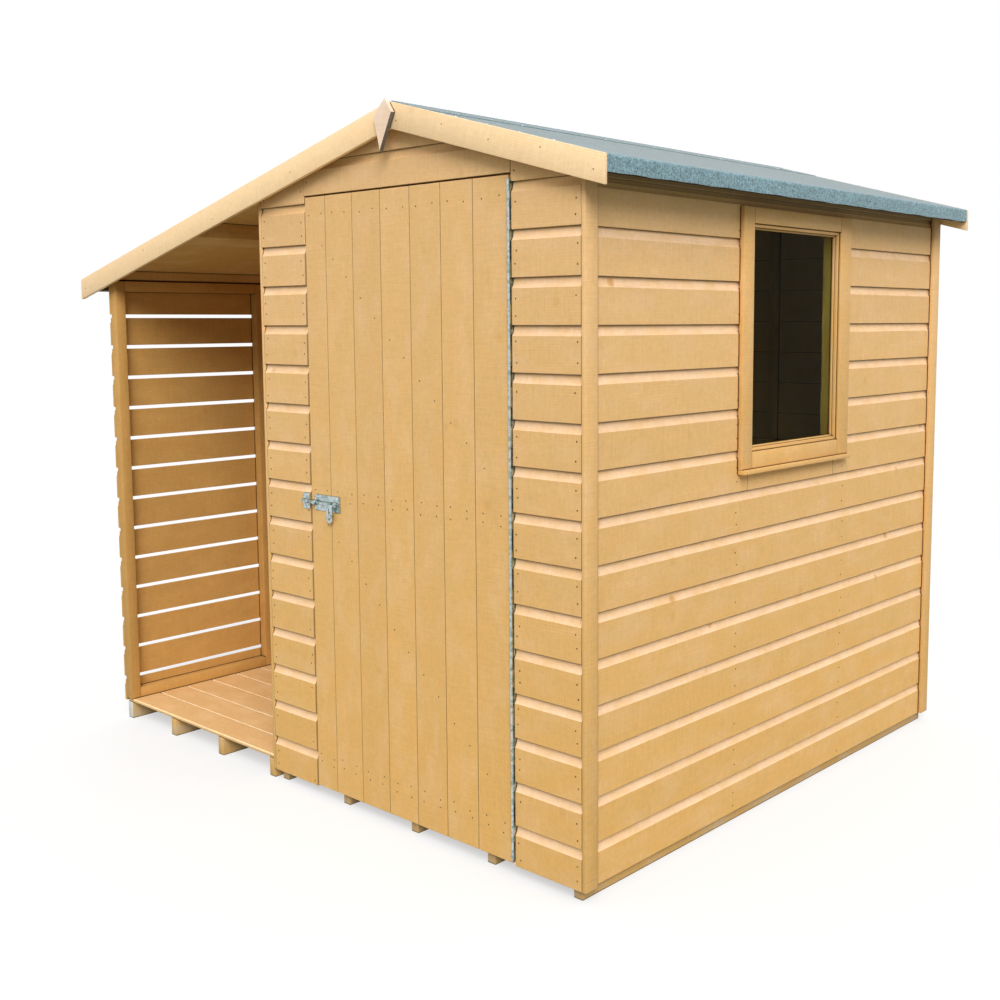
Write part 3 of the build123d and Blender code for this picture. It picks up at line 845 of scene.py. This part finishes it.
class SHED_OT_door(ShedOperator, bpy.types.Operator):
    """Make the ledged and braced door, board by board"""

    bl_idname = "shed.door"
    bl_label = "Door"

    def execute(self, context):
        size = sizes()
        material = finish(dipped_spruce_door)
        low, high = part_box("door_boards")
        pile = Pile("boards_door", 31)
        start = low.x
        end = start + size.door_first_board
        middles = []
        sliver = size.door_board_cover / 4
        while start < high.x - sliver:
            if end > high.x - sliver:
                end = high.x
            edge = end - size.joint if end < high.x else end
            outline = rectangle(start, edge, low.y, high.y)
            board = prism(outline, low.z, high.z, UP, RIGHT, BACK)
            pile.add(soften(board, size.arris), UP, RIGHT, self.gathered)
            middles.append((start + end) / 2)
            start = end
            end += size.door_board_cover
        pile.stand_for(material, "door_boards")
        for seed, node in enumerate(("door_ledges", "door_braces")):
            timber_pile(node, seed=33 + seed).stand_for(finish(sawn_spruce_frame), node)
        self.nail_boards(pile.draw, middles, low.y)
        return {"FINISHED"}

    def gathered(self, part):
        """Stain gathers along the joints of the door."""
        return 0.25 if abs(part.normal.x) > 0.3 else 0.0

    def nail_boards(self, draw, middles, front):
        """Nails the boards to the ledges in rows, and to the braces along their slope."""
        nails = Pile("door_nails", 35)
        diameter = sizes().nail_head
        wobble = 5 * MM
        margin = 30 * MM
        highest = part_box("door_ledges")[1].z - 1 * MM
        for corners in solids("door_ledges"):
            bottom, top = limits(corners, UP)
            centre = (bottom + top) / 2
            apart = 0 if top > highest else 12 * MM
            for height in sorted({centre - apart, centre + apart}):
                for middle in middles:
                    for side in (-1, 1):
                        across = middle + side * margin + draw.uniform(-wobble, wobble)
                        z = height + draw.uniform(-wobble, wobble)
                        nail(nails, Vector((across, front, z)), FRONT, diameter)
        for corners in solids("door_braces"):
            bottom, top = limits(corners, UP)
            left, right = limits(corners, RIGHT)
            for middle in middles:
                for side in (-1, 1):
                    across = middle + side * 28 * MM
                    share = (right - across) / (right - left)
                    z = bottom + (top - bottom) * share + draw.uniform(-wobble, wobble)
                    if bottom + margin < z < top - margin:
                        nail(nails, Vector((across, front, z)), FRONT, diameter)
        nails.make(finish(weathered_nail_steel), "door", "galvanised_steel")


class SHED_OT_ironmongery(ShedOperator, bpy.types.Operator):
    """Dress the piano hinge and the pad bolt in zinc plate, and drive the bolt's screws"""

    bl_idname = "shed.ironmongery"
    bl_label = "Hinge and bolt"

    def execute(self, context):
        zinc = finish(zinc_plated_steel)
        for node in ("hinge_leaf_door", "hinge_leaf_frame", "hinge_pin"):
            dress(node, zinc)
        for node in ("bolt_plate", "bolt_keep", "bolt_rod"):
            dress(node, zinc, 0.5 * MM)
        self.drive_screws("bolt_plate", "door", (0.12, 0.45, 0.88))
        self.drive_screws("bolt_keep", "shed", (0.5,))
        return {"FINISHED"}

    def drive_screws(self, node, body, places):
        """Round-headed screws along the top and bottom of a plate."""
        low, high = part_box(node)
        plate = 2 * MM
        plate_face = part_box("door_boards")[0].y - plate
        screws = Pile("screws_" + node, 41)
        radius = 3.2 * MM
        edge = 6.5 * MM
        for share in places:
            for z in (low.z + edge, high.z - edge):
                x = low.x + (high.x - low.x) * share
                self.screw(screws, Vector((x, plate_face, z)), radius)
        screws.make(finish(zinc_plated_steel), body, "galvanised_steel")

    def screw(self, pile, place, radius):
        """A domed head, flattened to the plate, with a cross cut into it."""
        mesh = bmesh.new()
        top = 0.3 * radius
        half_slot = 0.12 * radius
        depth = 0.18 * radius
        turn = FRONT.to_track_quat("Z", "Y").to_matrix().to_4x4()
        shape = Matrix.Diagonal((1, 1, 0.45, 1))
        bmesh.ops.create_uvsphere(
            mesh, u_segments=16, v_segments=10, radius=radius,
            matrix=Matrix.Translation(place) @ turn @ shape,
        )
        cut(mesh, [(place, BACK)])
        for vertex in mesh.verts:
            offset = vertex.co - place
            off_axis = min(abs(offset.x), abs(offset.z))
            if -offset.y > top and off_axis < half_slot:
                vertex.co.y += depth
        pile.add(mesh, RIGHT, UP)


class SHED_OT_window(ShedOperator, bpy.types.Operator):
    """Make the window's casing, sash and sill from separate sticks, and glaze it"""

    bl_idname = "shed.window"
    bl_label = "Window"

    def execute(self, context):
        material = finish(planed_spruce_casing)
        size = sizes()
        low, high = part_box("window_sash")
        low.y = size.window_front
        sash = (low, high)
        around = Vector((0, size.sash_show, size.sash_show))
        pane = (low + around, high - around)
        self.ring("window_casing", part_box("window_casing"), sash, material, 51)
        self.ring("window_sash", sash, pane, material, 52)
        timber_pile("window_sill", 1.5 * MM, 53).stand_for(material, "window_sill")
        bead_low, bead_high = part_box("window_beads")
        lap = Vector((0, 2 * MM, 2 * MM))
        inner = (pane[0] + around / 2, pane[1] - around / 2)
        outer = (pane[0] - lap, pane[1] + lap)
        for corner, reach in zip(outer + inner, (bead_low, bead_high) * 2):
            corner.x = reach.x
        self.ring("window_beads", outer, inner, material, 54, 1.6 * MM)
        self.pane(pane)
        return {"FINISHED"}

    def pane(self, around):
        """One sheet of glass, let into the sash."""
        low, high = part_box("window_glass")
        start, end = (corner.y for corner in around)
        outline = rectangle(start, end, low.x, high.x)
        sheet = prism(outline, around[0].z, around[1].z, UP, BACK, RIGHT)
        pile = Pile("pane", 55)
        pile.add(sheet, UP, BACK)
        pile.stand_for(finish(clear_glazing), "window_glass")

    def ring(self, node, outer, inner, material, seed, arris=1.5 * MM):
        """Four sticks round an opening: the uprights run through, the rails fit between."""
        low, high = outer
        inner_low, inner_high = inner
        pile = Pile("sticks_" + node, seed)
        gap = 0.2 * MM
        uprights = ((low.y, inner_low.y), (inner_high.y, high.y))
        rails = ((low.z, inner_low.z), (inner_high.z, high.z))
        for edges, start, end, along, across in (
            (uprights, low.z, high.z, UP, BACK),
            (rails, inner_low.y + gap, inner_high.y - gap, BACK, UP),
        ):
            for near, far in edges:
                outline = rectangle(near, far, low.x, high.x)
                stick = prism(outline, start, end, along, across, RIGHT)
                pile.add(soften(stick, arris, 2), along, across)
        pile.stand_for(material, node)


class SHED_OT_roof(ShedOperator, bpy.types.Operator):
    """Board the roof on its battens and purlin, and felt it"""

    bl_idname = "shed.roof"
    bl_label = "Roof"

    def execute(self, context):
        frame_wood = finish(sawn_spruce_frame)
        sheeting = finish(roof_sheeting)
        left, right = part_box("roof_battens")
        setback = 8 * MM
        trim = [(left + RIGHT * setback, LEFT), (right + LEFT * setback, RIGHT)]
        for seed, (node, material, stain, planes) in enumerate((
            ("roof_boards_left", sheeting, None, ()),
            ("roof_boards_right", sheeting, self.painted_soffit_shade, ()),
            ("roof_battens", frame_wood, self.painted_soffit_shade, trim),
            ("store_purlin", frame_wood, None, ()),
            ("store_wall_batten", frame_wood, None, ()),
        )):
            timber_pile(node, seed=61 + seed, stain=stain, trim=planes).stand_for(material, node)
        self.felt("felt_right", 1, ())
        self.felt("felt_left", -1, (0.55,))
        return {"FINISHED"}

    def painted_soffit_shade(self, part):
        """Painted shade: the right roof boards and the battens are darkened all over, for the
        shade under the eaves.
        """
        return 1.0

    def felt(self, node, side, laps):
        """A slope of felt, folded down over the eave, with a cap along the ridge. Laps are
        the places down the slope, as shares of it, where an upper sheet ends."""
        low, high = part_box(node)
        eave = high.x if side > 0 else low.x
        ridge = low.x if side > 0 else high.x
        corners = [point for solid in solids(node) for point in solid]
        folded = [point.z for point in corners if abs(point.x - eave) < 0.1 * MM]
        top = Vector((ridge, 0, high.z))
        corner = Vector((eave, 0, max(folded)))
        fall = corner - top
        run = fall.normalized()
        layer = 1.6 * MM
        fold = 6 * MM
        cap_width = 140 * MM
        lift = Vector((-run.z * side, 0, run.x * side)) * layer
        pile = Pile("sheet_" + node, 66)
        before = corner - run * fold
        after = corner - UP * fold
        profile = [(top, 0.0), (top + fall / 2, 0.0), (before, 0.0)]
        for i in range(1, 5):
            t = i / 4
            turn = before * (1 - t) ** 2 + corner * 2 * t * (1 - t) + after * t * t
            profile.append((turn, 0.0))
        drop = after.z - min(folded)
        profile += [(after - UP * drop * share, share) for share in (0.5, 1.0)]
        self.sheet(pile, profile, low.y, high.y, side)
        for share in laps:
            end = top + fall * share
            self.sheet(pile, [(top + lift, 0.0), (end + lift, 0.0)], low.y, high.y, side)
        cap_lift = lift * (1 + len(laps))
        cap = top + run * cap_width
        self.sheet(pile, [(top + cap_lift, 0.0), (cap + cap_lift, 0.0)], low.y, high.y, side)
        pile.stand_for(finish(mineral_felt), node)
        self.clouts(node, top + cap_lift, run, lift, fall.length, laps)

    def sheet(self, pile, profile, front, back, side):
        """Felt that follows a profile from the front verge to the back one. Each point of the
        profile tells how loose the sheet hangs there."""
        rows = 72
        thickness = 1.5 * MM
        slow = (5, 10, 17)
        quick = (31, 54)
        phases = [pile.draw.uniform(0, 6.28) for _ in range(5)]
        points = [point for point, _ in profile]
        mesh = bmesh.new()
        outer = []
        inner = []
        for row in range(rows + 1):
            y = front + (back - front) * row / rows
            sway = sum(math.sin(y * pace + phase) for pace, phase in zip(slow, phases))
            ragged = sum(math.sin(y * pace + phase) for pace, phase in zip(quick, phases[3:]))
            for index, (point, loose) in enumerate(profile):
                ahead = points[min(index + 1, len(points) - 1)]
                behind = points[max(index - 1, 0)]
                run = (ahead - behind).normalized()
                inward = Vector((run.z * side, 0, -run.x * side))
                place = point + BACK * y + inward * loose * (1 + sway / 3) * MM
                place += UP * loose * (ragged + 2) * 0.6 * MM
                outer.append(mesh.verts.new(place))
                inner.append(mesh.verts.new(place + inward * thickness))
        count = len(profile)
        for row in range(rows):
            for i in range(row * count, row * count + count - 1):
                for skin in (outer, inner):
                    mesh.faces.new([skin[j] for j in (i, i + 1, i + count + 1, i + count)])
            for i in (row * count, row * count + count - 1):
                mesh.faces.new((outer[i], inner[i], inner[i + count], outer[i + count]))
        for first in (0, rows * count):
            for i in range(first, first + count - 1):
                mesh.faces.new((outer[i], outer[i + 1], inner[i + 1], inner[i]))
        bmesh.ops.recalc_face_normals(mesh, faces=mesh.faces)
        pile.add(mesh, BACK, RIGHT)

    def clouts(self, node, top, run, lift, fall, laps):
        """Clout nails along the verges, the laps and the foot of the cap."""
        low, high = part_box(node)
        nails = Pile("clouts_" + node, 68)
        up = lift.normalized()
        spacing = 110 * MM
        edge = 18 * MM
        cap_seam = 125 * MM
        lap_edge = 15 * MM
        proud = 0.9 * MM
        down = int(fall / spacing)
        places = [
            top + run * spacing * i - lift + BACK * y
            for y in (low.y + edge, high.y - edge)
            for i in range(2, down)
        ]
        across = int((high.y - low.y) / spacing)
        seams = [(cap_seam, 0)] + [(share * fall - lap_edge, 1) for share in laps]
        for distance, level in seams:
            for i in range(1, across):
                y = low.y + (high.y - low.y) * i / across
                places.append(top + run * distance - lift * level + BACK * y)
        for place in places:
            nail(nails, place, up, sizes().clout_head, proud)
        nails.make(finish(zinc_plated_steel), "shed", "galvanised_steel")


class SHED_OT_trim(ShedOperator, bpy.types.Operator):
    """Nail the fascias to the roof's ends, and set the finial over their joint"""

    bl_idname = "shed.trim"
    bl_label = "Fascias and finial"

    def execute(self, context):
        nails = Pile("fascia_nails", 71)
        for seed, node in enumerate(("fascia_left", "fascia_right")):
            pile = timber_pile(node, 1.6 * MM, 72 + seed)
            pile.stand_for(finish(planed_spruce_trim), node)
            for corners in solids(node):
                self.nail_ends(nails, corners)
        self.finial()
        nails.make(finish(weathered_nail_steel), "shed", "galvanised_steel")
        return {"FINISHED"}

    def finial(self):
        """A kite sawn by hand: its foot leans to the left, and its lower edges are darker."""
        low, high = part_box("finial")
        middle = (low.x + high.x) / 2
        outline = [
            (middle - 3 * MM, high.z),
            (high.x - 16 * MM, high.z - 36 * MM),
            (middle - 25 * MM, low.z),
            (low.x - 10 * MM, high.z - 40 * MM),
        ]
        kite = soften(prism(outline, low.y, high.y, BACK, RIGHT, UP), 0.8 * MM)
        pile = Pile("kite_finial", 75)
        pile.add(kite, UP, RIGHT, self.darker_lower_edges)
        pile.stand_for(finish(bare_pine_finial), "finial")

    def darker_lower_edges(self, part):
        """The lower edges, which face down, are darkened."""
        return 0.95 if abs(part.normal.x) > 0.5 and part.normal.z < 0 else 0.0

    def nail_ends(self, nails, corners):
        """Nails along a fascia, on its outer face."""
        mesh = hull(corners)
        along = grain_of(mesh)[0]
        mesh.free()
        start, end = limits(corners, along)
        middle = sum(corners, Vector()) / len(corners)
        out = FRONT if middle.y < 0 else BACK
        face = limits(corners, out)[1]
        across = along.cross(BACK).normalized()
        count = 5
        margin = 38 * MM
        sunk = 0.3 * MM
        for i in range(count):
            place = start + margin + (end - start - 2 * margin) * i / (count - 1)
            side = nails.draw.uniform(-12, 12) * MM
            point = middle + along * (place - middle.dot(along)) + across * side
            point += out * (face - sunk - point.dot(out))
            nail(nails, point, out, sizes().nail_head)


class SHED_OT_store(ShedOperator, bpy.types.Operator):
    """Slat the open log store on its square posts and rails"""

    bl_idname = "shed.store"
    bl_label = "Log store"

    def execute(self, context):
        size = sizes()
        for seed, (node, along, out) in enumerate(
            (("store_side_slats", BACK, LEFT), ("store_rear_slats", RIGHT, BACK))
        ):
            pile = Pile("boards_" + node, 80 + seed)

            def golden(part):
                """Outside, a slat is as gold as the walls."""
                return -1.0 if part.normal.dot(out) > 0.1 else 0.0

            for corners in solids(node):
                low, high = limits(corners, UP)
                start, end = limits(corners, along)
                back, face = limits(corners, out)
                roof = slopes(corners, out)
                outline = rectangle(low, high, face, back)
                if not roof and len(corners) > 8:
                    outline = coved(
                        low, high, face, back, size.slat_cove_height, size.slat_cove_depth
                    )
                board = cut(prism(outline, start, end, along, UP, out), roof)
                soften(board, size.arris * 0.6)
                pile.add(board, along, UP, golden)
            pile.stand_for(finish(store_slats_with_painted_shade), node)
        for seed, node in enumerate(("store_posts", "store_side_rails", "store_rear_rails")):
            timber_pile(node, 1.5 * MM, 84 + seed).stand_for(finish(store_slats_with_painted_shade), node)
        return {"FINISHED"}


class SHED_OT_base(ShedOperator, bpy.types.Operator):
    """Lay the bearers and the tongued floor boards"""

    bl_idname = "shed.base"
    bl_label = "Base"

    def execute(self, context):
        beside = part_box("bearers")[0].x + 60 * MM

        def sealed(part):
            """The front end of the outer bearer has sealer on it."""
            outer = part.calc_center_median().x < beside
            return -1.0 if outer and part.normal.dot(FRONT) > 0.9 else 0.0

        bearers = timber_pile("bearers", 1.5 * MM, 90, sealed)
        bearers.stand_for(finish(treated_bearers), "bearers")
        for seed, node in enumerate(("store_floor", "shed_floor")):
            self.floor(node, 91 + seed)
        return {"FINISHED"}

    def floor(self, node, seed):
        """Boards across the floor, the first one notched round the corner strip."""
        size = sizes()
        low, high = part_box(node)
        corners = [point for solid in solids(node) for point in solid]
        inner = [p for p in corners if low.x + MM < p.x < high.x - MM]
        pile = Pile("boards_" + node, seed)
        start = low.y
        worn = 3 * MM
        while start < high.y - MM:
            end = min(start + size.floor_cover, high.y)
            outline = rectangle(low.x, high.x, start, end - size.joint)
            if inner and start == low.y:
                notch_x = min(p.x for p in inner)
                notch_y = max(p.y for p in inner)
                outline[1:2] = [(notch_x, start), (notch_x, notch_y), (high.x, notch_y)]
            board = prism(outline, low.z, high.z, UP, RIGHT, BACK)
            pile.add(soften(board, worn), RIGHT, BACK, self.rubbed)
            start = end
        pile.stand_for(finish(dipped_floor_boards), node)

    def rubbed(self, part):
        """The upper arrises of a floor board are rubbed pale."""
        return -1.0 if part.normal.z > 0.3 and abs(part.normal.y) > 0.3 else 0.0


class SHED_OT_framing(ShedOperator, bpy.types.Operator):
    """Stand the sawn framing inside the closed shed"""

    bl_idname = "shed.framing"
    bl_label = "Framing"

    def execute(self, context):
        nodes = (
            "shed_posts", "shed_rails", "partition_studs", "partition_rails",
            "window_wall_studs", "window_wall_rails", "window_trimmers",
        )
        for seed, node in enumerate(nodes):
            timber_pile(node, seed=100 + seed).stand_for(finish(sawn_spruce_frame), node)
        return {"FINISHED"}


class SHED_OT_stage(ShedOperator, bpy.types.Operator):
    """Set the pale floor, the soft light and the camera"""

    bl_idname = "shed.stage"
    bl_label = "Stage"

    def execute(self, context):
        stage = context.scene.shed_stage
        context.scene.view_settings.view_transform = "Standard"
        self.floor(stage)
        self.world(context.scene, stage)
        lamp = bpy.data.lights.new("soft_lamp", "SUN")
        lamp.energy = stage.lamp
        lamp.angle = math.radians(32)
        lamp_object = bpy.data.objects.new("soft_lamp", lamp)
        context.scene.collection.objects.link(lamp_object)
        lamp_object.rotation_euler = LAMP_TOWARDS.to_track_quat("-Z", "Y").to_euler()
        self.camera(context.scene, stage)
        return {"FINISHED"}

    def floor(self, stage):
        """A wide disc that fades into the white background. It looks pale, and throws back
        as little light as a lawn does, which keeps the undersides of the shed dark."""
        mesh = bmesh.new()
        bmesh.ops.create_circle(mesh, cap_ends=True, segments=96, radius=40)
        data = bpy.data.meshes.new("floor")
        mesh.to_mesh(data)
        mesh.free()
        piece = bpy.data.objects.new("floor", data)
        bpy.context.scene.collection.objects.link(piece)
        material = bpy.data.materials.new("pale_floor")
        add = node_adder(material)
        place = add("TexCoord", output="Object")
        reach = add("VectorMath", place, output="Value", operation="LENGTH")
        fade = add("MapRange", reach, 1.6, 5.0, 0.55, 1.0, interpolation_type="SMOOTHSTEP")
        seen = self.seen_or_mirrored(add)
        share = add("Math", fade, seen, operation="MULTIPLY")
        tones = {6: rgba(stage.ground), 7: rgba((0.82, 0.82, 0.82))}
        pale = add("Mix", seen, output=2, sockets=tones, data_type="RGBA")
        matt = add("BsdfDiffuse", pale)
        glow = add("Emission", rgba((1, 1, 1)), 1.0)
        add("OutputMaterial", add("MixShader", share, matt, glow))
        data.materials.append(material)

    def seen_or_mirrored(self, add):
        """1 for what the camera, a reflection or glass looks at, and 0 for what lights the
        shed."""
        paths = add("LightPath").node.outputs
        some = add("Math", paths["Is Camera Ray"], paths["Is Glossy Ray"], operation="MAXIMUM")
        return add("Math", some, paths["Is Transmission Ray"], operation="MAXIMUM")

    def world(self, scene, stage):
        """An overcast sky, four times as bright overhead as at the horizon. The camera,
        metal and glass see it as white."""
        world = bpy.data.worlds.new("soft_sky")
        scene.world = world
        add = node_adder(world)
        height = add("SeparateXYZ", add("TexCoord", output="Generated"), output="Z")
        overcast = add("MapRange", height, 0.0, 1.0, stage.sky / 4, stage.sky)
        even = add("Background", rgba((1, 0.99, 0.97)), overcast)
        white = add("Background", rgba((1, 1, 1)), 1.0)
        add("OutputWorld", add("MixShader", self.seen_or_mirrored(add), even, white))

    def camera(self, scene, stage):
        """The photograph's viewpoint: to the right of the door, at chest height."""
        data = bpy.data.cameras.new("camera")
        data.lens = stage.lens
        data.sensor_width = 36
        data.shift_x, data.shift_y = LENS_SHIFT
        piece = bpy.data.objects.new("camera", data)
        scene.collection.objects.link(piece)
        turn = Matrix.Rotation(stage.yaw, 4, "Z")
        turn @= Matrix.Rotation(math.radians(90) - stage.pitch, 4, "X")
        turn @= Matrix.Rotation(stage.roll, 4, "Z")
        piece.matrix_world = Matrix.Translation(CAMERA_PLACE) @ turn
        scene.camera = piece


PIECES = (
    SHED_OT_cladding,
    SHED_OT_door,
    SHED_OT_ironmongery,
    SHED_OT_window,
    SHED_OT_roof,
    SHED_OT_trim,
    SHED_OT_store,
    SHED_OT_base,
    SHED_OT_framing,
    SHED_OT_stage,
)
SETTINGS = {
    "shed_timber": ShedTimberSettings,
    "shed_finish": ShedFinishSettings,
    "shed_stage": ShedStageSettings,
}


class SHED_PT_panel(bpy.types.Panel):
    """The shed's pieces and settings."""

    bl_idname = "SHED_PT_panel"
    bl_label = "Garden shed"
    bl_space_type = "VIEW_3D"
    bl_region_type = "UI"
    bl_category = "Shed"

    def draw(self, context):
        for piece in PIECES:
            self.layout.operator(piece.bl_idname)
        for name, group in SETTINGS.items():
            box = self.layout.box()
            settings = getattr(context.scene, name)
            for field in group.__annotations__:
                box.prop(settings, field)


def register():
    for part in (*SETTINGS.values(), *PIECES, SHED_PT_panel):
        bpy.utils.register_class(part)
    for name, group in SETTINGS.items():
        setattr(bpy.types.Scene, name, PointerProperty(type=group))


def unregister():
    for name in SETTINGS:
        delattr(bpy.types.Scene, name)
    for part in (SHED_PT_panel, *reversed(PIECES), *SETTINGS.values()):
        bpy.utils.unregister_class(part)


def main():
    """Makes the whole shed."""
    register()
    for piece in PIECES:
        group, name = piece.bl_idname.split(".")
        getattr(getattr(bpy.ops, group), name)()


if __name__ == "__main__":
    main()
